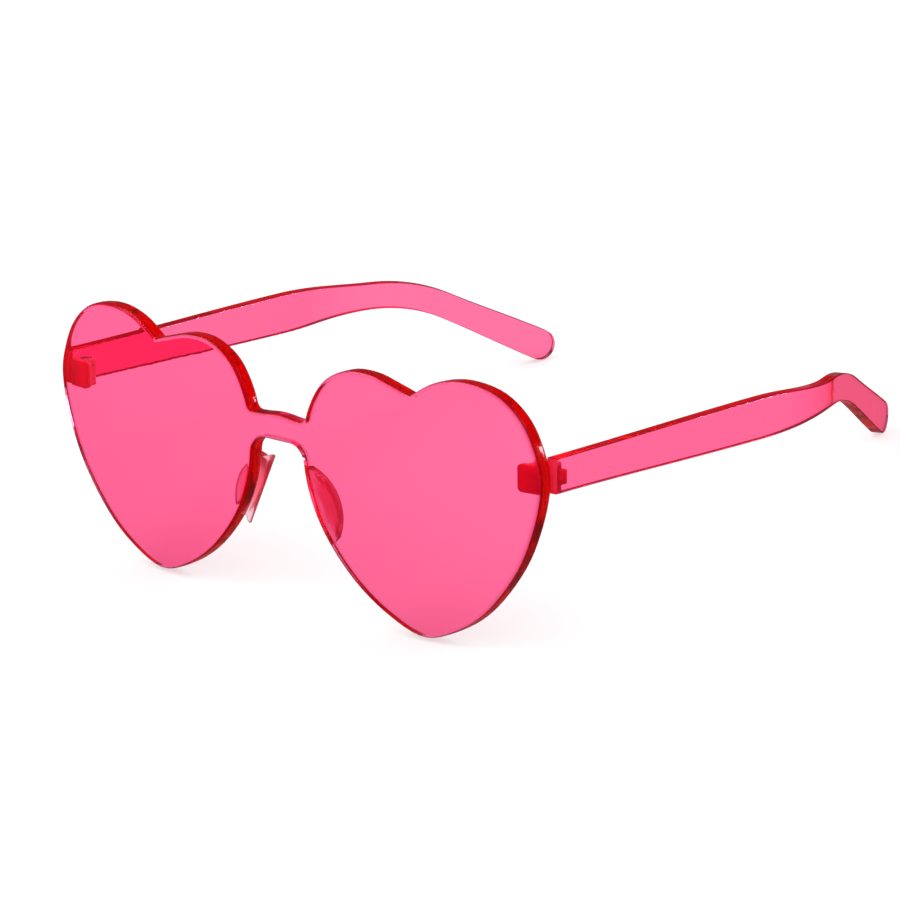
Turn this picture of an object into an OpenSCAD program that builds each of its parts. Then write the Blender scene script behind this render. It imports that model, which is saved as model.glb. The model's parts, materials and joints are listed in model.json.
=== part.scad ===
// Heart shaped sunglasses: a one-piece clear tinted front cut as two hearts and
// a bridge, moulded end pieces and nose pads bonded to its back, and two flat
// temples with bonded hinge leaves that fold on steel screws. Millimetres.
// Every module draws in the wearing frame: X across the face with the wearer's
// left at +X, Y back towards the ears, Z up, zero at the foot of the hearts.
// place_standing() then sets the pair down open on its heart and temple tips.

/* [Front] */
// Width of the front over both hearts
front_w = 144.4; // [130:0.2:155]
// Height of a heart from its foot to the top of the outer lobe
lens_h = 58; // [50:1:64]
// Thickness of the front
lens_t = 3.9; // [3:0.1:5]
// Radius that the front is curved to, sideways and up and down
lens_r = 560; // [400:10:900]
// Angle that the foot of the hearts leans towards the cheeks
lens_tilt = 2.4; // [0:0.2:4]

/* [Bridge] */
// Gap between the two hearts where they come closest
bridge_w = 15; // [12:0.2:18]
// Height of the bridge at its middle
bridge_h = 6; // [5:0.5:9]
// Height of the bridge's underside above the foot of the hearts
bridge_z = 36.6; // [33:0.2:40]
// How much the bridge's top edge is arched
bridge_rise = 0.5; // [0.2:0.1:1]
// Radius in the corners between the bridge and the hearts
bridge_corner_r = 1.8; // [1:0.1:2.5]
// Radius at each side of the nose arch
nose_arch_r = 4; // [3:0.2:6]

/* [Nose pads] */
// Length of a pad along the nose edge
pad_len = 18; // [15:0.5:22]
// How far a pad stands out behind the front
pad_reach = 4.2; // [3.6:0.2:8]
// Thickness of a pad
pad_t = 2; // [1.6:0.1:2.5]
// How far a pad's root overhangs the nose edge
pad_overhang = 1.2; // [0.6:0.1:1.4]
// Radius that a pad's bearing face is domed to
pad_dome_r = 40; // [30:1:60]
// Angle at which the pads spread from each other towards the face
pad_splay = 12; // [5:1:24]
// Angle at which the pads spread from each other downwards
pad_slant = 25; // [18:1:30]
// Height of a pad's middle above the foot of the hearts
pad_z = 23.5; // [20:0.5:28]
// Width, at its middle, of the crescent foot that bonds a pad to the front
pad_foot_w = 4.8; // [3.6:0.2:6]
// Thickness of that foot
pad_foot_t = 1.2; // [0.8:0.1:2]

/* [End pieces] */
// How far an end piece reaches in from the temple across the back of the front
end_w = 5.8; // [4.2:0.2:10]
// Height of an end piece, and of the hinge on it
hinge_h = 6; // [5.4:0.2:7]
// Height of the hinge's middle above the foot of the hearts
hinge_z = 39.2; // [37:0.2:42]
// Distance of the hinge's axis behind the front
hinge_back = 3; // [2.6:0.1:4]

/* [Hinge] */
// Radius of the knuckles
knuckle_r = 2; // [1.8:0.1:2.4]
// Height of each of the end piece's two knuckles
ear_h = 1.4; // [1.2:0.1:1.8]
// Radius of the hinge screw's shank
screw_r = 0.7; // [0.5:0.05:0.9]
// Radius of the hinge screw's head
head_r = 1.25; // [1:0.05:1.5]
// Height of the hinge screw's head
head_h = 0.7; // [0.5:0.1:1]
// How far the screw's end shows below the hinge
screw_stub = 0.7; // [0.2:0.1:1]

/* [Hinge leaves] */
// How far a leaf's foot reaches back along the temple from the hinge's axis
leaf_len = 2.4; // [2.1:0.1:4]

/* [Temples] */
// Length of a temple from its hinge end to its tip, along the bends
temple_len = 143.5; // [130:0.5:155]
// Thickness of a temple
temple_t = 2.8; // [2.2:0.1:3.5]
// Height of a temple at its hinge end
butt_h = 7.6; // [6.5:0.1:9]
// Height of a temple at its broadest, half way to the ear
temple_h = 9.1; // [7:0.1:10]
// Height of a temple at its waist, where it bends behind the ear
waist_h = 6.1; // [5.5:0.1:8]
// Height of a temple at its tip
tip_h = 7.3; // [6.4:0.1:9.5]
// Height of the temples' centre line at the hinge above the foot of the hearts
temple_z = 40.2; // [38:0.2:43]
// Angle at which the temples rise from the hinge towards the ear
temple_rise = 0.4; // [0:0.1:2]
// Angle at which the temples spread from each other behind the hinge leaves
temple_splay = 0.5; // [0:0.1:1]
// How far the temples' outer faces stand outside the hearts
side_lap = 1; // [0.6:0.1:2]
// Angle of the bend down behind the ear
droop_angle = 26; // [15:1:35]
// Radius of that bend
droop_r = 42; // [30:1:60]
// Length from the start of that bend to the middle of the tip
droop_back = 46; // [38:0.5:52]
// Angle of the bend in towards the head
curl_angle = 24; // [10:1:32]
// Radius of that bend
curl_r = 50; // [40:1:80]
// Length from the start of that bend to the middle of the tip
curl_back = 62; // [50:0.5:68]

/* [Hidden] */

lens_colour = [0.99, 0.40, 0.58, 0.6];
pad_colour = [0.97, 0.23, 0.40, 0.8];
end_colour = [0.85, 0.08, 0.15];
temple_colour = [0.98, 0.47, 0.63, 0.7];
steel_colour = [0.75, 0.76, 0.78];

// Running gaps and the overrun of every cut
turn_gap = 0.1;
bore_gap = 0.05;
thread_bite = 0.02;
overrun = 1;
web_overlap = 0.5;
bond_gap = 0.01;

// Facets of a full turn, and of the two very large face radii
$fn = 96;
turn_fn = 180;
face_fn = 1440;

// Outline of the wearer's left heart, clockwise from the notch. Shares of the
// heart's width from its nose side, and of its height from its foot.
heart_shares = [
    [0.474, 0.912], [0.571, 0.974], [0.693, 1.000], [0.828, 0.974], [0.928, 0.890],
    [0.985, 0.765], [1.000, 0.655], [0.968, 0.500], [0.900, 0.334], [0.781, 0.167],
    [0.656, 0.062], [0.506, 0.000], [0.363, 0.047], [0.213, 0.155], [0.087, 0.312],
    [0.020, 0.472], [0.000, 0.628], [0.023, 0.769], [0.092, 0.893], [0.196, 0.955],
    [0.302, 0.962], [0.394, 0.938]];
heart_tip = 11;
curve_steps = 5;
corner_steps = 10;
arch_steps = 6;
rear_steps = 36;
bridge_top = bridge_z + bridge_h;

heart_w = (front_w - bridge_w) / 2;
heart_knots = [for (p = heart_shares) [bridge_w / 2 + p.x * heart_w, p.y * lens_h]];
heart_points = smooth_ring(heart_knots, curve_steps);

// The heart's nose side from the foot up, as height and place across
nose_top = 20;
nose_side = [for (i = [heart_tip * curve_steps : nose_top * curve_steps]) [heart_points[i].y, heart_points[i].x]];

// Half of the front's outline from the middle of the bridge's top edge, over the
// heart and back to the middle of the nose arch, then the whole outline
over_corner = corner_arc(bridge_top - bridge_rise, 1, bridge_corner_r);
under_corner = corner_arc(bridge_z, -1, nose_arch_r);
nose_start = heart_tip * curve_steps;
over_end = over_corner[corner_steps].y;
under_end = under_corner[corner_steps].y;
half_points = concat(
    [for (k = [0 : arch_steps - 1]) let (u = k / arch_steps)
        [u * over_corner[0].x, bridge_top - bridge_rise * ease(u)]],
    over_corner,
    [for (i = [nose_start : len(heart_points) - 1]) if (heart_points[i].y > over_end) heart_points[i]],
    [for (i = [0 : nose_top * curve_steps]) if (i < nose_start || heart_points[i].y < under_end) heart_points[i]],
    [for (k = [corner_steps : -1 : 0]) under_corner[k]],
    [[0, bridge_z]]);
front_points = concat(half_points,
    [for (i = [len(half_points) - 2 : -1 : 1]) [-half_points[i].x, half_points[i].y]]);

// The front is part of a ball shell. Its centre lies behind the wearer, and its
// foremost point above the middle of the hearts because the front leans.
apex_z = lens_h / 2 + lens_r * sin(lens_tilt);
cap_r = norm([front_w / 2 + side_lap, apex_z]) + overrun;
cap_depth = lens_r - sqrt(pow(lens_r - lens_t, 2) - cap_r * cap_r) + overrun;
plug_depth = cap_depth + pad_reach + hinge_back + 2 * knuckle_r;

// The nose edge runs down and outwards from the arch
pad_x = lookup(pad_z, nose_side);
pad_y = back_y(pad_x, pad_z);
pad_foot_r = (pad_len * pad_len / 4 + pad_foot_w * pad_foot_w) / (2 * pad_foot_w);
pad_r = (pad_len * pad_len / 4 + pad_reach * pad_reach) / (2 * pad_reach);

// Hinge places, on the wearer's left. The temple's hinge end closes against the
// back of the front, and the end piece and the knuckles lie inside the temple.
out_x = front_w / 2 + side_lap;
in_x = out_x - temple_t;
arm_y = back_y(front_w / 2, temple_z - butt_h / 2) + turn_gap;
axis_x = in_x - knuckle_r - turn_gap;
axis_y = back_y(axis_x, hinge_z) + hinge_back;
block_rear = axis_y - knuckle_r - turn_gap;
hinge_foot = hinge_z - hinge_h / 2;
hinge_head = hinge_z + hinge_h / 2;
middle_h = hinge_h - 2 * ear_h - 2 * turn_gap;
end_corner_r = hinge_h / 6;
head_seat_r = head_r + bore_gap;
slot_w = head_r / 4;
slot_depth = head_h / 2;

// Path of a temple's centre line in its own flat sheet, before it is curled in
tip_r = tip_h / 2;
path_end = temple_len - tip_r;
droop_at = path_end - droop_back;
droop_arc = droop_r * droop_angle * PI / 180;
tail_s = droop_at + droop_r * sin(droop_angle) + (droop_back - droop_arc) * cos(droop_angle);
curl_at = tail_s - curl_back;
curl_arc = curl_r * curl_angle * PI / 180;
waist_run = droop_back * 0.6;
swell_run = droop_at - waist_run;
splay_at = swell_run / 5;
arm_step = droop_back / 30;
tip_steps = 7;

// The rear face's curve from its middle outwards, for what is bonded to it
rear_profile = [for (k = [0 : rear_steps]) let (rho = cap_r * k / rear_steps)
    [rho, lens_r - sqrt(pow(lens_r - lens_t, 2) - rho * rho) + bond_gap]];

// Distance of the front's two faces behind its foremost point
function front_y(x, z) = lens_r - sqrt(lens_r * lens_r - x * x - pow(z - apex_z, 2));
function back_y(x, z) = lens_r - sqrt(pow(lens_r - lens_t, 2) - x * x - pow(z - apex_z, 2));

// A smooth curve through four neighbouring points, drawn between the middle two
function between(a, b, c, d, u) =
    b + (u / 2) * ((c - a) + u * ((2 * a - 5 * b + 4 * c - d) + u * (3 * b - a - 3 * c + d)));

// A closed smooth curve through points whose first one is a sharp corner
function smooth_ring(p, steps) = let (n = len(p)) [
    for (i = [0 : n - 1])
        let (a = p[max(i - 1, 0)], b = p[i], c = p[(i + 1) % n], d = p[i + 1 >= n ? 0 : (i + 2) % n])
            for (k = [0 : steps - 1]) between(i == 0 ? b : a, b, c, d, k / steps)];

// Rounds the corner between a level edge of the bridge and the heart's nose
// side, above the edge for way = 1 and below it for way = -1
function corner_arc(z, way, r) = let (
        side_x = lookup(z, nose_side), lean = atan((lookup(z + way * r, nose_side) - side_x) / r),
        middle = [side_x - r / tan((90 + lean) / 2), z + way * r])
    [for (k = [0 : corner_steps]) let (t = -90 + (90 - lean) * k / corner_steps)
        middle + r * [cos(t), way * sin(t)]];

// Rises from 0 to 1 without a kink
function ease(u) = let (v = min(max(u, 0), 1)) v * v * (3 - 2 * v);

function path_angle(l) = min(max(l - droop_at, 0) / droop_r * 180 / PI, droop_angle);
function path_s(l) = let (a = path_angle(l))
    min(l, droop_at) + droop_r * sin(a) + max(l - droop_at - droop_arc, 0) * cos(a);
function path_z(l) = let (a = path_angle(l))
    l * tan(temple_rise) - droop_r * (1 - cos(a)) - max(l - droop_at - droop_arc, 0) * sin(a);
function half_h(l) = (butt_h + (temple_h - butt_h) * ease(l / swell_run)
    - (temple_h - waist_h) * ease((l - droop_at) / waist_run + 1)
    + (tip_h - waist_h) * ease((l - path_end) / waist_run + 1)) / 2;

// Place on the curled sheet, at a depth below its outer face
function bent(p, depth) = let (
        spread = p.x > splay_at ? temple_splay : 0,
        straight = max(min(p.x, curl_at) - splay_at, 0), run = max(p.x - curl_at, 0),
        a = min(run / curl_r * 180 / PI, curl_angle) - spread, tail = max(run - curl_arc, 0)) [
    out_x + straight * sin(spread) - curl_r * (cos(spread) - cos(a)) - tail * sin(a) - depth * cos(a),
    arm_y + min(p.x, splay_at) + straight * cos(spread) + curl_r * (sin(spread) + sin(a))
        + tail * cos(a) - depth * sin(a),
    temple_z + p.y];

// The four corners of a temple where the path has run l, and round its tip
function section(top, foot) = [bent(top, 0), bent(top, temple_t), bent(foot, temple_t), bent(foot, 0)];
function arm_section(l) = let (a = path_angle(l), c = [path_s(l), path_z(l)], n = half_h(l) * [sin(a), cos(a)])
    section(c + n, c - n);
function tip_section(turn) = let (a = droop_angle, c = [path_s(path_end), path_z(path_end)],
        on = tip_r * cos(turn) * [cos(a), -sin(a)], up = tip_r * sin(turn) * [sin(a), cos(a)])
    section(c + on + up, c + on - up);
arm_stations = [
    for (l = [0 : splay_at : 2.5 * splay_at]) l,
    for (l = [2 * splay_at + arm_step * 2 : arm_step * 2 : swell_run]) l,
    for (l = [swell_run + arm_step : arm_step : path_end - arm_step / 2]) l];
tip_turns = [for (k = [0 : tip_steps]) 90 - k * 85 / tip_steps];
arm_sections = concat([for (l = arm_stations) arm_section(l)], [for (t = tip_turns) tip_section(t)]);
arm_points = [for (s = arm_sections) each s];

// The pair stands on the hearts' rear lower edge and on the temple tips
foot_y = back_y(heart_knots[heart_tip].x, heart_knots[heart_tip].y);
tip_middle = bent([tail_s, path_z(path_end)], 0);
reach = tip_middle.y - foot_y;
stand_lean = asin(-tip_r / norm([reach, tip_middle.z])) - atan2(-tip_middle.z, reach);
stand_lift = foot_y * sin(stand_lean);
leaned_front = min([for (p = heart_points) front_y(p.x, p.y) * cos(stand_lean) + p.y * sin(stand_lean)]);
leaned_rear = max([for (p = arm_points) p.y * cos(stand_lean) + p.z * sin(stand_lean)]);
stand_shift = -(leaned_front + leaned_rear) / 2;

// Sets the wearing frame down on its four feet, centred over the origin
module place_standing() {
    translate([0, stand_shift, stand_lift]) rotate([-stand_lean, 0, 0]) children();
}

// Puts a wearer's-left piece on the other side
module on_side(side) {
    if (side > 0) children();
    else mirror([1, 0, 0]) children();
}

// Turns a flat outline drawn in X and Z into a slab from y0 to y1
module slab(y0, y1) {
    translate([0, y1, 0]) rotate([90, 0, 0]) linear_extrude(y1 - y0) children();
}

// The space behind the front's rear face, which pads and end pieces are cut to
module behind_front() {
    translate([0, 0, apex_z]) rotate([-90, 0, 0]) rotate_extrude($fn = turn_fn)
        polygon(concat(rear_profile, [[cap_r, plug_depth], [0, plug_depth]]));
}

module front_shell() {
    translate([0, 0, apex_z]) rotate([-90, 0, 0]) rotate_extrude($fn = turn_fn) intersection() {
        square([cap_r, cap_depth]);
        translate([0, lens_r]) difference() {
            circle(lens_r, $fn = face_fn);
            circle(lens_r - lens_t, $fn = face_fn);
        }
    }
}

module front_lens() {
    color(lens_colour) place_standing() intersection() {
        front_shell();
        slab(-overrun, cap_depth + overrun) polygon(front_points);
    }
}

module rounded(w, h, r) {
    translate([r, 0]) square([w - 2 * r, h]);
    translate([0, r]) square([w, h - 2 * r]);
    for (x = [r, w - r], y = [r, h - r]) translate([x, y]) circle(r);
}

// A domed round-edged fin that stands on a crescent foot along the nose edge
module nose_pad(side) {
    color(pad_colour) place_standing() on_side(side) intersection() {
        behind_front();
        translate([pad_x, pad_y, pad_z]) rotate([0, -pad_slant, 0]) translate([-pad_overhang, 0, 0]) {
            rotate([0, 0, -pad_splay]) translate([0, pad_reach - pad_r, 0]) rotate([0, 90, 0])
                rotate_extrude($fn = turn_fn) intersection() {
                    square([pad_r, pad_r]);
                    translate([0, pad_dome_r]) difference() {
                        circle(pad_dome_r, $fn = turn_fn * 2);
                        circle(pad_dome_r - pad_t, $fn = turn_fn * 2);
                    }
                }
            translate([pad_t / 2, 0, 0]) slab(-pad_foot_t, pad_foot_t) intersection() {
                translate([pad_foot_w - pad_foot_r, 0]) circle(pad_foot_r, $fn = turn_fn);
                translate([-web_overlap, -pad_len / 2]) square([pad_foot_w + web_overlap, pad_len]);
            }
        }
    }
}

// One knuckle of the end piece and the root that carries it
module ear(z) {
    translate([axis_x, axis_y, z]) cylinder(h = ear_h, r = knuckle_r);
    translate([axis_x - knuckle_r, block_rear - web_overlap, z])
        cube([2 * knuckle_r, axis_y - block_rear + web_overlap, ear_h]);
}

// Block bonded behind the heart, with two knuckles on its back
module end_piece(side) {
    color(end_colour) place_standing() on_side(side) difference() {
        union() {
            intersection() {
                behind_front();
                translate([axis_x + knuckle_r - end_w, 0, hinge_foot])
                    slab(0, block_rear) rounded(end_w, hinge_h, end_corner_r);
            }
            ear(hinge_foot);
            ear(hinge_head - ear_h);
        }
        translate([axis_x, axis_y, hinge_foot - overrun])
            cylinder(h = ear_h + 2 * overrun, r = screw_r - thread_bite);
        translate([axis_x, axis_y, hinge_head - ear_h - overrun])
            cylinder(h = ear_h + 2 * overrun, r = screw_r + bore_gap);
        translate([axis_x, axis_y, hinge_head - head_h]) cylinder(h = head_h + overrun, r = head_seat_r);
    }
}

// Slotted screw, its head let into the upper knuckle
module hinge_screw(side) {
    color(steel_colour) place_standing() on_side(side) translate([axis_x, axis_y, 0]) difference() {
        union() {
            translate([0, 0, hinge_foot - screw_stub])
                cylinder(h = hinge_h + screw_stub - head_h / 2, r = screw_r);
            translate([0, 0, hinge_head - head_h]) cylinder(h = head_h, r = head_r);
        }
        translate([-slot_w / 2, -head_r - overrun, hinge_head - slot_depth])
            cube([slot_w, 2 * (head_r + overrun), slot_depth + overrun]);
    }
}

// Flat sheet arm, its sections joined by triangles, curled in and bent down
module temple_arm() {
    n = len(arm_sections);
    sides = [for (i = [0 : n - 2], k = [0 : 3]) let (a = 4 * i + k, b = 4 * i + (k + 1) % 4)
        each [[a, b, b + 4], [a, b + 4, a + 4]]];
    ends = [[3, 2, 1], [3, 1, 0], [4 * n - 4, 4 * n - 3, 4 * n - 2], [4 * n - 4, 4 * n - 2, 4 * n - 1]];
    polyhedron(arm_points, concat(sides, ends));
}

module temple(side) {
    color(temple_colour) place_standing() on_side(side) temple_arm();
}

// The middle knuckle, with the foot that bonds it to the temple's inner face
module hinge_leaf(side) {
    middle_foot = hinge_foot + ear_h + turn_gap;
    color(end_colour) place_standing() on_side(side) difference() {
        union() {
            translate([axis_x, axis_y, middle_foot]) cylinder(h = middle_h, r = knuckle_r);
            translate([axis_x, axis_y, middle_foot])
                cube([in_x - bond_gap - axis_x, leaf_len, middle_h]);
        }
        translate([axis_x, axis_y, middle_foot - overrun])
            cylinder(h = middle_h + 2 * overrun, r = screw_r + bore_gap);
    }
}

front_lens();
nose_pad(1);  // nose_pad_left
nose_pad(-1);  // nose_pad_right
end_piece(1);  // end_piece_left
end_piece(-1);  // end_piece_right
hinge_screw(1);  // hinge_screw_left
hinge_screw(-1);  // hinge_screw_right
hinge_leaf(1);  // hinge_leaf_left
hinge_leaf(-1);  // hinge_leaf_right
temple(1);  // temple_left
temple(-1);  // temple_right
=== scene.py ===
"""Heart shaped sunglasses: a clear tinted one-piece front with two hearts, two folding temples."""

import json
import math
import bmesh
import bpy
from mathutils import Matrix, Vector


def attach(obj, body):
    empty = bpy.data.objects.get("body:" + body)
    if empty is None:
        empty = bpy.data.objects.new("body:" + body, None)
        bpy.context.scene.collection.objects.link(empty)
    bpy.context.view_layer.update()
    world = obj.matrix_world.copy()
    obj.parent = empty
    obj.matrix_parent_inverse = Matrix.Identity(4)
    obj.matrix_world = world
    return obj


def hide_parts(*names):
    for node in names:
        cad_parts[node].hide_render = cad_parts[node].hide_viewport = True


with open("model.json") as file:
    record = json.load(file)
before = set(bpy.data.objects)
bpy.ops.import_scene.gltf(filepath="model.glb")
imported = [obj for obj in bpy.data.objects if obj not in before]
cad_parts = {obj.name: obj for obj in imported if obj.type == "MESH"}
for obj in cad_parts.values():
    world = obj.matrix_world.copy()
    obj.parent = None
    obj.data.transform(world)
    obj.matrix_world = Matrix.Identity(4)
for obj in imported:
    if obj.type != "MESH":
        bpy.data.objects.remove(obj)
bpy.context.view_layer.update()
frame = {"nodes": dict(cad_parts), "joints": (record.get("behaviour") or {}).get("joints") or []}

# The front: two hearts and the bridge in one, routed from a 3.9 mm sheet of cast
# acrylic that was curved to a ball, with its cut edge rounded over and polished.
MM = 0.001
FRONT_THICK = 3.9 * MM
FRONT_RADIUS = 560 * MM
FRONT_APEX = 52.45 * MM
FRONT_EDGE = 1.0 * MM
FRONT_CELL = 3 * MM
FRONT_CELLS = 25
FRONT_WAVES = 4 * MM
MERGE = 0.001 * MM
FORWARD = -0.7
STRAIGHT = math.radians(0.2)
WALL_TILT = 0.05
# How much of the cut edge's roughness and painted shade falls on its upright walls.
WALL_ROUGH_AND_SHADE_SHARE = 0.25

# The pair stands on the hearts' feet and the temple tips, so the sheet leans; the
# hinge's axis, which is upright when worn, tells how much.
hinge = frame["joints"][0]
lean = Matrix.Rotation(-math.atan2(hinge["axis"][1], hinge["axis"][2]), 4, "X")
worn_hinge = Vector((68.3, 11.27, 39.2)) * MM
worn = Matrix.Translation(Vector(hinge["pos_m"]) - lean @ worn_hinge) @ lean


def linear(code):
    """An sRGB hex colour as the linear colour that a shader takes."""
    parts = [int(code[i : i + 2], 16) / 255 for i in (1, 3, 5)]
    return [*(p / 12.92 if p <= 0.04045 else ((p + 0.055) / 1.055) ** 2.4 for p in parts), 1]


def add_node(tree, kind, inputs=None, **settings):
    """Adds a node, with its settings, and its inputs as values or as links."""
    node = tree.nodes.new("ShaderNode" + kind)
    for name, value in settings.items():
        setattr(node, name, value)
    for name, value in (inputs or {}).items():
        if isinstance(value, bpy.types.NodeSocket):
            tree.links.new(value, node.inputs[name])
        else:
            node.inputs[name].default_value = value
    return node


def clear_plastic(name, tint, density, gloss, wave_gap, sawn=None, painted_edge_shade=None, frost=None):
    """Plastic tinted in the mass: it takes light off by the depth that a ray passes.

    gloss is the roughness where it is best polished and where it is worst, and wave_gap
    the spacing in metres of the fine waves in its skin. A piece cut from a sheet has
    sawn, the roughness of its cut edges, and painted_edge_shade, the colour of a painted
    shade on them that stands in for the dark lines that bent light draws there. An
    end that the saw has frosted is marked as 2 and takes the colour frost.
    """
    material = bpy.data.materials.new(name)
    material.use_nodes = True
    tree = material.node_tree
    tree.nodes.clear()
    place = add_node(tree, "TexCoord").outputs["Object"]
    wave = add_node(tree, "TexNoise", {"Vector": place, "Scale": 1 / wave_gap, "Detail": 2.0})
    rub = add_node(tree, "TexNoise", {
        "Vector": place, "Scale": 1 / (12 * wave_gap), "Detail": 4.0})
    rough = add_node(tree, "MapRange", {
        "Value": rub.outputs["Fac"], "From Min": 0.35, "From Max": 0.7,
        "To Min": gloss[0], "To Max": gloss[1]}).outputs["Result"]
    shade, clear = linear("#FFFFFF"), 1.0
    # Painted shade: the marked cut edges take a darker colour, for the dark lines that bent light
    # draws in them, as well as a rougher skin.
    if painted_edge_shade:
        edge = add_node(tree, "Attribute", attribute_name="sawn").outputs["Fac"]
        rough = add_node(tree, "Mix", {0: edge, 2: rough, 3: sawn}).outputs[0]
        shade = add_node(tree, "Mix", {
            0: edge, 6: shade, 7: linear(painted_edge_shade)}, data_type="RGBA").outputs[2]
    if frost:
        frosted = add_node(tree, "MapRange", {
            "Value": edge, "From Min": 1.0, "From Max": 2.0}).outputs["Result"]
        shade = add_node(tree, "Mix", {
            0: frosted, 6: shade, 7: linear(frost)}, data_type="RGBA").outputs[2]
        clear = add_node(tree, "MapRange", {
            "Value": frosted, "To Min": 1.0, "To Max": 0.2}).outputs["Result"]
    skin = add_node(tree, "Bump", {
        "Height": wave.outputs["Fac"], "Strength": 0.25, "Distance": 0.01 * wave_gap})
    body = add_node(tree, "BsdfPrincipled", {
        "Base Color": shade, "Roughness": rough, "IOR": 1.49,
        "Specular Tint": linear("#FF6080"), "Transmission Weight": clear,
        "Normal": skin.outputs["Normal"]})
    inside = add_node(tree, "VolumeAbsorption", {"Color": linear(tint), "Density": density})
    add_node(tree, "OutputMaterial", {
        "Surface": body.outputs["BSDF"], "Volume": inside.outputs["Volume"]})
    return material


def worn_copy(node):
    """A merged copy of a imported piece, turned back to how it is worn."""
    work = bmesh.new()
    work.from_mesh(frame["nodes"][node].data)
    bmesh.ops.remove_doubles(work, verts=work.verts, dist=MERGE)
    bmesh.ops.transform(work, matrix=worn.inverted(), verts=work.verts)
    return work


def thicken(work, thick):
    """Pushes a flat cut-out back into a sheet, and gives the edges round both faces."""
    pushed = bmesh.ops.extrude_face_region(work, geom=work.faces[:])["geom"]
    back = [g for g in pushed if isinstance(g, bmesh.types.BMVert)]
    bmesh.ops.translate(work, vec=(0, thick, 0), verts=back)
    return [e for e in work.edges if abs(e.verts[0].co.y - e.verts[1].co.y) < 0.5 * thick]


def round_over(work, edges, radius, segments):
    """Rounds edges over as a polishing wheel does."""
    bmesh.ops.bevel(
        work, geom=edges, offset=radius, offset_type="OFFSET", segments=segments,
        profile=0.5, affect="EDGES", material=-1, clamp_overlap=False)


def mark_sawn(work, frosted=None):
    """Marks a flat sheet's cut edge, its rounding fading to the face, a frosted end as 2."""
    # The mark sets both where the cut edge is rougher and where painted shade darkens it.
    sawn = work.faces.layers.float.new("sawn")
    for face in work.faces:
        across = abs(face.normal.y)
        face[sawn] = WALL_ROUGH_AND_SHADE_SHARE if across < WALL_TILT else 1 - across**4
        if frosted is not None and face.calc_center_median().x < frosted:
            face[sawn] = 2.0


def slice_across(work, way, place):
    """Cuts edges across a sheet, so that it can bend there."""
    bmesh.ops.bisect_plane(
        work, geom=work.verts[:] + work.edges[:] + work.faces[:], dist=MERGE,
        plane_co=way * place, plane_no=way)


def ball_depth(point, radius):
    """How far a ball's skin lies behind its foremost point, at a place across the face."""
    return FRONT_RADIUS - math.sqrt(radius**2 - point.x**2 - (point.z - FRONT_APEX) ** 2)


def finished(work, name, body, node, material):
    """Stands a worn mesh on the floor as a piece of the pair, in place of its node."""
    bmesh.ops.transform(work, matrix=worn, verts=work.verts)
    bmesh.ops.recalc_face_normals(work, faces=work.faces)
    mesh = bpy.data.meshes.new(name)
    work.to_mesh(mesh)
    work.free()
    mesh.shade_smooth()
    mesh.materials.append(material)
    piece = bpy.data.objects.new(name, mesh)
    bpy.context.collection.objects.link(piece)
    even = piece.modifiers.new("even_shading", "WEIGHTED_NORMAL")
    even.keep_sharp = True
    even.weight = 80
    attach(piece, body)
    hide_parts(node)


# Cast acrylic: glassy, clear, tinted right through, so the routed edges look far deeper
# than the faces because light in them has run along the sheet. Its cut edges also take
# a painted shade, which stands in for the dark lines that bent light draws in them.
front_acrylic = clear_plastic(
    "cast_tinted_front_acrylic", "#FE3AB1", 468, (0.0, 0.015), FRONT_WAVES,
    sawn=0.2, painted_edge_shade="#C4A0AE")

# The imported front's front face gives the outline, which is laid flat and cut afresh.
sheet = worn_copy("front_lens")
walls_and_rear = [f for f in sheet.faces if f.normal.y > FORWARD]
bmesh.ops.delete(sheet, geom=walls_and_rear, context="FACES")
bmesh.ops.scale(sheet, vec=(1, 0, 1), verts=sheet.verts)
bmesh.ops.dissolve_faces(sheet, faces=sheet.faces, use_verts=False)
straight = [v for v in sheet.verts if v.calc_edge_angle(0) < STRAIGHT]
bmesh.ops.dissolve_verts(sheet, verts=straight)
rim = thicken(sheet, FRONT_THICK)
round_over(sheet, rim, FRONT_EDGE, segments=6)
mark_sawn(sheet)
for way in (Vector((1, 0, 0)), Vector((0, 0, 1))):
    for cell in range(-FRONT_CELLS, FRONT_CELLS + 1):
        slice_across(sheet, way, FRONT_CELL * cell)
for vert in sheet.verts:
    share = vert.co.y / FRONT_THICK
    vert.co.y = (1 - share) * ball_depth(vert.co, FRONT_RADIUS) + share * ball_depth(
        vert.co, FRONT_RADIUS - FRONT_THICK)
finished(sheet, "heart_front", "front", "front_lens", front_acrylic)

# The nose pads: two domed fins moulded in the same clear plastic and cemented along
# the hearts' nose edges, with edges softened by the mould.
PAD_EDGE = 0.3 * MM
PAD_WAVES = 1.5 * MM
CEMENT = 0.1 * MM
FLAT, SHARP = math.radians(0.5), math.radians(40)


def off_front(place):
    """Whether a place stands clear of the front's rear face."""
    return place.y - ball_depth(place, FRONT_RADIUS - FRONT_THICK) > CEMENT


def soften(work, radius, free):
    """Rounds over a moulding's sharp edges, where free says that a place isn't cemented."""
    bmesh.ops.dissolve_limit(work, angle_limit=FLAT, verts=work.verts, edges=work.edges)
    sharp = [e for e in work.edges if e.is_convex and e.calc_face_angle(0) > SHARP
             and free(e.verts[0].co) and free(e.verts[1].co)]
    bmesh.ops.bevel(
        work, geom=sharp, offset=radius, offset_type="OFFSET", segments=2, profile=0.5,
        affect="EDGES", material=-1, clamp_overlap=True)


# Moulded clear plastic: duller than the sheet, since a mould's skin isn't polished.
pad_plastic = clear_plastic(
    "moulded_clear_pad_plastic", "#FC3F89", 520, (0.3, 0.4), PAD_WAVES)
for side in ("left", "right"):
    pad = worn_copy(f"nose_pad_{side}")
    soften(pad, PAD_EDGE, off_front)
    finished(pad, f"nose_pad_{side}_moulding", "front", f"nose_pad_{side}",
             pad_plastic)

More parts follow.
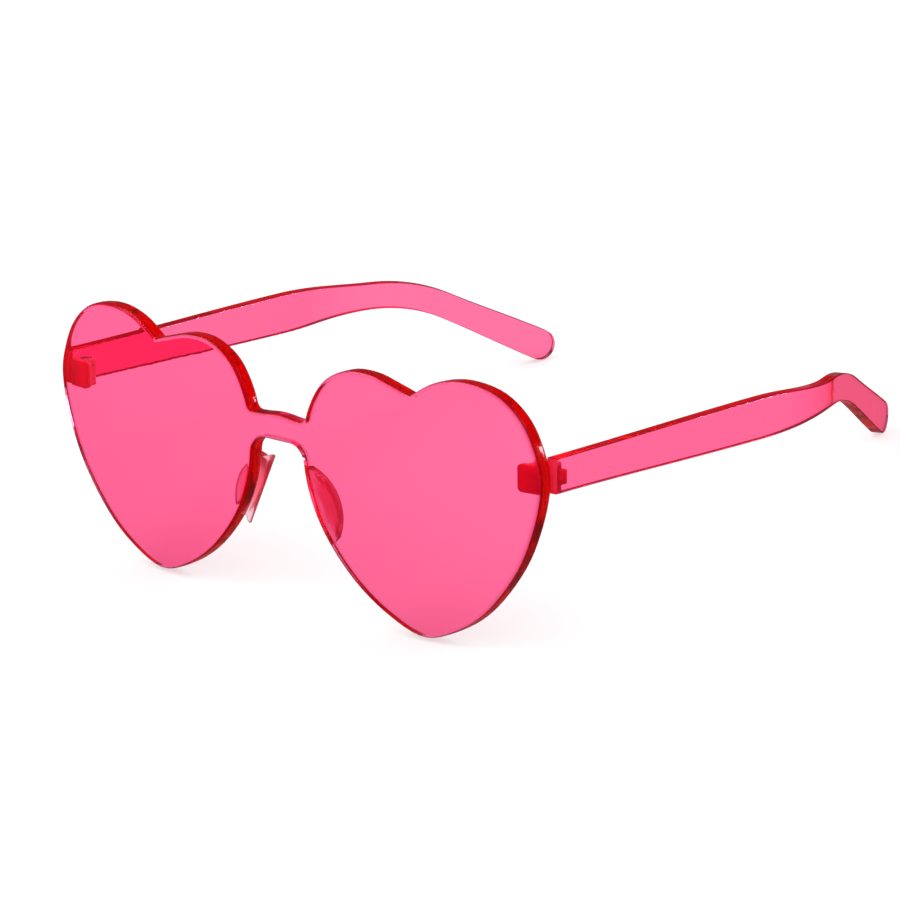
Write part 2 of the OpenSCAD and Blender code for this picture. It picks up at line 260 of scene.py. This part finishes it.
# The end pieces: small moulded blocks with two knuckles each, cemented behind the
# hearts' outer lobes. The hinge leaves: the knuckle that turns between them, on a foot
# that is cemented inside the temple.
HINGE_EDGE = 0.2 * MM
LEAF_FREE = 70.3 * MM
FLOW_GAP = MM / 0.9

# Milky plastic in a deeper shade: light goes a little way in and comes out redder. The
# mould's flow marks are about 1.1 mm apart.
hinge_plastic = bpy.data.materials.new("moulded_deep_hinge_plastic")
hinge_plastic.use_nodes = True
tree = hinge_plastic.node_tree
tree.nodes.clear()
place = add_node(tree, "TexCoord").outputs["Object"]
flow = add_node(tree, "TexNoise", {"Vector": place, "Scale": 1 / FLOW_GAP, "Detail": 3.0})
shade = add_node(tree, "Mix", {
    "Factor": flow.outputs["Fac"], 6: linear("#FF747C"), 7: linear("#FF7E84")},
    data_type="RGBA")
sheen = add_node(tree, "MapRange", {
    "Value": flow.outputs["Fac"], "To Min": 0.16, "To Max": 0.3})
grain = add_node(tree, "Bump", {
    "Height": flow.outputs["Fac"], "Strength": 0.2, "Distance": 0.02 * MM})
body = add_node(tree, "BsdfPrincipled", {
    "Base Color": shade.outputs[2], "Roughness": sheen.outputs["Result"], "IOR": 1.49,
    "Specular Tint": linear("#FF6080"), "Subsurface Weight": 1.0,
    "Subsurface Radius": (1.0, 0.3, 0.25), "Subsurface Scale": 3 * MM,
    "Normal": grain.outputs["Normal"]})
add_node(tree, "OutputMaterial", {"Surface": body.outputs["BSDF"]})
for side in ("left", "right"):
    block = worn_copy(f"end_piece_{side}")
    soften(block, HINGE_EDGE, off_front)
    finished(block, f"end_piece_{side}_moulding", "front", f"end_piece_{side}",
             hinge_plastic)
    leaf = worn_copy(f"hinge_leaf_{side}")
    soften(leaf, HINGE_EDGE, lambda place: abs(place.x) < LEAF_FREE)
    finished(leaf, f"hinge_leaf_{side}_moulding", f"temple_arm_{side}", f"hinge_leaf_{side}",
             hinge_plastic)

# The hinge screws: slotted, turned from bright steel, run down through the knuckles
# and threaded into the lower one.
TURNED_RING = MM / 6
TURNED_ROUND = 5 * MM

# Turned steel: bright, with fine rings round it that the tool has left.
turned_steel = bpy.data.materials.new("turned_bright_steel")
turned_steel.use_nodes = True
tree = turned_steel.node_tree
tree.nodes.clear()
place = add_node(tree, "TexCoord").outputs["Object"]
lathe = add_node(tree, "Mapping", {
    "Vector": place, "Scale": (1 / TURNED_ROUND, 1 / TURNED_ROUND, 1 / TURNED_RING)})
rings = add_node(tree, "TexNoise", {"Vector": lathe.outputs["Vector"], "Scale": 1.0})
turned = add_node(tree, "MapRange", {
    "Value": rings.outputs["Fac"], "To Min": 0.2, "To Max": 0.45})
cut = add_node(tree, "Bump", {
    "Height": rings.outputs["Fac"], "Strength": 0.3, "Distance": 0.01 * MM})
steel = add_node(tree, "BsdfPrincipled", {
    "Base Color": linear("#C9CCD1"), "Metallic": 1.0, "Roughness": turned.outputs["Result"],
    "Normal": cut.outputs["Normal"]})
add_node(tree, "OutputMaterial", {"Surface": steel.outputs["BSDF"]})
for side in ("left", "right"):
    frame["nodes"][f"hinge_screw_{side}"].material_slots[0].material = turned_steel

# The temples: flat arms cut from 2.8 mm sheet and polished, then bent down behind the
# ear and curled in by heat. The hinge end stays as the saw left it, and the hinge's
# leaf is cemented inside it.
ARM_LONG, ARM_THICK, ARM_EDGE = 143.5 * MM, 2.8 * MM, 0.25 * MM
BUTT_HIGH, BROAD_HIGH, WAIST_HIGH, TIP_HIGH = 7.6 * MM, 9.1 * MM, 6.1 * MM, 7.3 * MM
ARM_START = Vector((73.2, 8.94, 40.2)) * MM
RISE, DROOP, CURL, SPLAY = (math.radians(a) for a in (0.4, 26, 24, 0.5))
DROOP_RADIUS, CURL_RADIUS = 42 * MM, 50 * MM
DROOP_BACK, CURL_BACK = 46 * MM, 62 * MM
ARM_CELL, ARM_CELLS = 0.5 * MM, 285
OUTLINE_STEPS, TIP_STEPS = 90, 24
WAIST_SHARE, BUTT_SHARE = 0.6, 0.2
FROSTED = 0.1 * MM
path_end = ARM_LONG - TIP_HIGH / 2
droop_at = path_end - DROOP_BACK
waist_run = WAIST_SHARE * (path_end - droop_at)
splay_at = BUTT_SHARE * (droop_at - waist_run)


def ease(share):
    """Rises from 0 to 1 without a kink."""
    share = min(max(share, 0), 1)
    return share * share * (3 - 2 * share)


def arm_turn(run):
    """How far the arm has turned down, a run along it from the hinge end."""
    return min(max(run - droop_at, 0) / DROOP_RADIUS, DROOP)


def arm_middle(run):
    """The arm's middle line on its flat sheet: how far back and how high."""
    turn = arm_turn(run)
    tail = max(run - droop_at - DROOP_RADIUS * DROOP, 0)
    back = min(run, droop_at) + DROOP_RADIUS * math.sin(turn) + tail * math.cos(turn)
    high = run * math.tan(RISE) - DROOP_RADIUS * (1 - math.cos(turn)) - tail * math.sin(turn)
    return Vector((back, 0, high))


def arm_half(run):
    """Half the arm's height: a slow swell, a waist at the ear and a fuller tip."""
    high = BUTT_HIGH + (BROAD_HIGH - BUTT_HIGH) * ease(run / (droop_at - waist_run))
    high -= (BROAD_HIGH - WAIST_HIGH) * ease((run - droop_at) / waist_run + 1)
    high += (TIP_HIGH - WAIST_HIGH) * ease((run - path_end) / waist_run + 1)
    turn = arm_turn(run)
    return Vector((math.sin(turn), 0, math.cos(turn))) * high / 2


curl_at = arm_middle(path_end).x - CURL_BACK


def curl_in(point):
    """Where heat has bent a point of the flat arm, whose depth is below its outer face."""
    spread = SPLAY if point.x > splay_at else 0
    straight = max(min(point.x, curl_at) - splay_at, 0)
    run = max(point.x - curl_at, 0)
    turn = min(run / CURL_RADIUS, CURL) - spread
    tail = max(run - CURL_RADIUS * CURL, 0)
    inward = Vector((-math.cos(turn), -math.sin(turn), 0)) * point.y
    return ARM_START + inward + Vector((
        straight * math.sin(spread) - CURL_RADIUS * (math.cos(spread) - math.cos(turn))
        - tail * math.sin(turn),
        min(point.x, splay_at) + straight * math.cos(spread)
        + CURL_RADIUS * (math.sin(spread) + math.sin(turn)) + tail * math.cos(turn), point.z))


def cut_arm():
    """The flat arm as a sheet's cut-out, its edges rounded over, bent by curl_in."""
    work = bmesh.new()
    runs = [path_end * k / OUTLINE_STEPS for k in range(OUTLINE_STEPS + 1)]
    top = [arm_middle(r) + arm_half(r) for r in runs]
    foot = [arm_middle(r) - arm_half(r) for r in runs]
    ahead = Vector((math.cos(DROOP), 0, -math.sin(DROOP))) * TIP_HIGH / 2
    tip = [arm_middle(path_end) + ahead * math.sin(a) + arm_half(path_end) * math.cos(a)
           for a in (math.pi * k / TIP_STEPS for k in range(1, TIP_STEPS))]
    ring = [work.verts.new(p) for p in top + tip + foot[::-1]]
    work.faces.new(ring)
    rim = thicken(work, ARM_THICK)
    round_over(work, rim, ARM_EDGE, segments=4)
    mark_sawn(work, FROSTED)
    for cell in range(1, ARM_CELLS):
        slice_across(work, Vector((1, 0, 0)), ARM_CELL * cell)
    for vert in work.verts:
        vert.co = curl_in(vert.co)
    return work


# A thinner sheet of the same acrylic, tinted deeper to match the front.
# The temple's cut edges take a deeper painted shade than the front's, which stands in for the dark
# lines that bent light draws in them.
temple_acrylic = clear_plastic(
    "cast_tinted_temple_acrylic", "#FE3AAE", 655, (0.0, 0.015), FRONT_WAVES,
    sawn=0.03, painted_edge_shade="#886070", frost="#FF3050")
for side, way in (("left", 1), ("right", -1)):
    arm = cut_arm()
    bmesh.ops.scale(arm, vec=(way, 1, 1), verts=arm.verts)
    finished(arm, f"temple_{side}_arm", f"temple_arm_{side}", f"temple_{side}",
             temple_acrylic)

# The floor: white studio paper, which the camera sees as white and which keeps the
# pair's shadow. The plastic mirrors it dimly, so its own colour stays deep.
FLOOR_RADIUS = 6
FLOOR_DROP = 0.2 * MM


def light_kinds(tree):
    """Which light the camera sees, also through plastic, and which is only mirrored."""
    path = add_node(tree, "LightPath").outputs
    seen = add_node(tree, "Math", {
        0: path["Is Camera Ray"], 1: path["Is Transmission Ray"]}, operation="MAXIMUM")
    unlit = add_node(tree, "Math", {0: path["Diffuse Depth"], 1: 0.5}, operation="LESS_THAN")
    seen = add_node(tree, "Math", {
        0: seen.outputs[0], 1: unlit.outputs[0]}, operation="MULTIPLY")
    mirrored = add_node(tree, "Math", {
        0: path["Is Glossy Ray"], 1: path["Is Transmission Ray"]},
        operation="SUBTRACT", use_clamp=True)
    return seen.outputs[0], mirrored.outputs[0]


floor_mesh = bpy.data.meshes.new("studio_floor")
work = bmesh.new()
bmesh.ops.create_circle(work, cap_ends=True, segments=64, radius=FLOOR_RADIUS)
bmesh.ops.translate(work, vec=(0, 0, -FLOOR_DROP), verts=work.verts)
work.to_mesh(floor_mesh)
work.free()
floor = bpy.data.objects.new("studio_floor", floor_mesh)
bpy.context.collection.objects.link(floor)
paper = bpy.data.materials.new("white_studio_paper")
paper.use_nodes = True
tree = paper.node_tree
tree.nodes.clear()
seen, mirrored = light_kinds(tree)
matt = add_node(tree, "BsdfDiffuse", {"Color": linear("#989898")})
glow = add_node(tree, "Emission", {"Color": linear("#FFFFFF"), "Strength": 0.55})
dark = add_node(tree, "Emission", {"Strength": 0.0})
shown = add_node(tree, "MixShader", {0: seen, 1: dark.outputs[0], 2: glow.outputs[0]})
both = add_node(tree, "AddShader", {0: matt.outputs[0], 1: shown.outputs[0]})
dim = add_node(tree, "Emission", {"Color": linear("#FFFFFF"), "Strength": 0.14})
paper_look = add_node(tree, "MixShader", {
    0: mirrored, 1: both.outputs[0], 2: dim.outputs[0]})
add_node(tree, "OutputMaterial", {"Surface": paper_look.outputs[0]})
floor_mesh.materials.append(paper)

# The room: white for the camera, and lit at a plain level. Light that comes through the
# plastic from above the horizon meets a dark band below a pale ceiling, as studio cards
# give it, and this draws the dark lines in the cut edges.
room = bpy.data.worlds.new("white_studio")
bpy.context.scene.world = room
room.use_nodes = True
tree = room.node_tree
tree.nodes.clear()
seen, mirrored = light_kinds(tree)
camera_ray = add_node(tree, "LightPath").outputs["Is Camera Ray"]
height = add_node(tree, "SeparateXYZ", {0: add_node(tree, "TexCoord").outputs["Generated"]})
walls = add_node(tree, "MapRange", {
    "Value": height.outputs["Z"], "From Min": 0.12, "From Max": 0.22,
    "To Min": 1.0, "To Max": 0.22})
ceiling = add_node(tree, "MapRange", {
    "Value": height.outputs["Z"], "From Min": 0.3, "From Max": 0.45,
    "To Min": 0.0, "To Max": 0.6})
level = add_node(tree, "Math", {
    0: walls.outputs["Result"], 1: ceiling.outputs["Result"]}, operation="MAXIMUM")
strength = add_node(tree, "Mix", {0: seen, 2: 1.5, 3: level.outputs[0]})
strength = add_node(tree, "Mix", {0: mirrored, 2: strength.outputs[0], 3: 0.05})
strength = add_node(tree, "Mix", {0: camera_ray, 2: strength.outputs[0], 3: 1.0})
sky = add_node(tree, "Background", {
    "Color": linear("#FFFFFF"), "Strength": strength.outputs[0]})
add_node(tree, "OutputWorld", {"Surface": sky.outputs[0]})

# The lamps: two large soft boxes above the pair, and a low narrow strip behind it, which
# draws the bright streak down the near heart's cut edge.
for name, spot, size, power in (
    ("key_softbox", (-0.7, -0.5, 1.2), (0.9, 0.9), 9.0),
    ("fill_softbox", (0.9, 0.5, 1.1), (0.7, 0.7), 4.0),
    ("edge_strip", (0.66, 0.71, 0.08), (0.1, 0.25), 3.0),
):
    lamp = bpy.data.lights.new(name, "AREA")
    lamp.shape = "RECTANGLE"
    lamp.size, lamp.size_y = size
    lamp.energy = power
    holder = bpy.data.objects.new(name, lamp)
    holder.location = spot
    holder.rotation_euler = (-Vector(spot)).to_track_quat("-Z", "Y").to_euler()
    bpy.context.collection.objects.link(holder)

# The camera: a long lens at the photograph's viewpoint, a little above the pair and to
# the wearer's left. Light may cross the clear pieces many times before it is dropped.
CAMERA_SPOT = Vector((818.0, -815.5, 333.5)) * MM
AROUND, DOWN, ROLL = (math.radians(a) for a in (43.23, 14.51, -0.04))
FILM_WIDE, FOCAL_LENGTH = 36, 222.84
NEAREST, FARTHEST = 0.05, 20
MOST_BOUNCES = 40
lens = bpy.data.cameras.new("photograph_view")
lens.sensor_width, lens.lens = FILM_WIDE, FOCAL_LENGTH
lens.clip_start, lens.clip_end = NEAREST, FARTHEST
camera = bpy.data.objects.new("photograph_view", lens)
turn = Matrix.Rotation(AROUND, 4, "Z") @ Matrix.Rotation(math.pi / 2 - DOWN, 4, "X")
camera.matrix_world = (
    worn @ Matrix.Translation(CAMERA_SPOT) @ turn @ Matrix.Rotation(ROLL, 4, "Z"))
bpy.context.collection.objects.link(camera)
bpy.context.scene.camera = camera
bpy.context.scene.view_settings.view_transform = "Standard"
cycles = bpy.context.scene.cycles
cycles.max_bounces = cycles.glossy_bounces = cycles.transmission_bounces = MOST_BOUNCES
